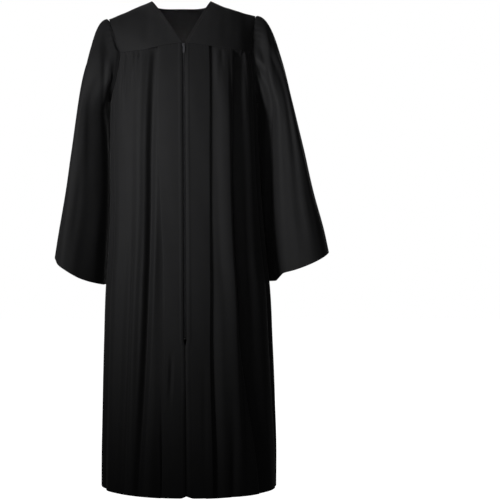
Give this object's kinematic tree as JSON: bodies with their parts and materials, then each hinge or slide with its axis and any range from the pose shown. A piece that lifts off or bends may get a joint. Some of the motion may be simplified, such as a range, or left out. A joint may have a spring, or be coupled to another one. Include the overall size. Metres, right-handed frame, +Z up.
{
  "type": "graduation gown",
  "caption": "Black graduation gown, filled out as worn with nobody inside: V neck, shoulder yokes, bell sleeves, zip front with knife pleats, hollow and open at neck, cuffs and hem.",
  "frame": {"origin": "In the middle of the neck, level with the wearer's shoulders beside the neck, where the wearer holds the gown up.", "axes": "+Z up, towards the wearer's head. The front faces -Y. +X is towards the wearer's left."},
  "size_m": [0.7312, 0.365, 1.2972],
  "materials": {
    "gown_cloth": "matt black woven polyester",
    "zip_tape": "black woven tape",
    "zip_teeth": "black nylon coil",
    "zip_metal": "dark grey die cast zinc"
  },
  "bodies": {
    "gown": {"yoke_front_right": "gown_cloth", "yoke_front_left": "gown_cloth", "yoke_back": "gown_cloth", "front_right": "gown_cloth", "front_left": "gown_cloth", "back_right": "gown_cloth", "back_left": "gown_cloth", "sleeve_right": "gown_cloth", "sleeve_left": "gown_cloth", "zip_tape_right": "zip_tape", "zip_tape_left": "zip_tape", "zip_chain": "zip_teeth", "zip_slider": "zip_metal", "zip_stop": "zip_metal"},
    "zip_pull": {"zip_pull": "zip_metal"}
  },
  "joints": [
    {"name": "zip_pull_swing", "type": "hinge", "parent": "gown", "child": "zip_pull", "pos_m": [0.00318, -0.10555, -0.13609], "axis": [-1, 0, 0], "range_deg": [0, 160]}
  ]
}
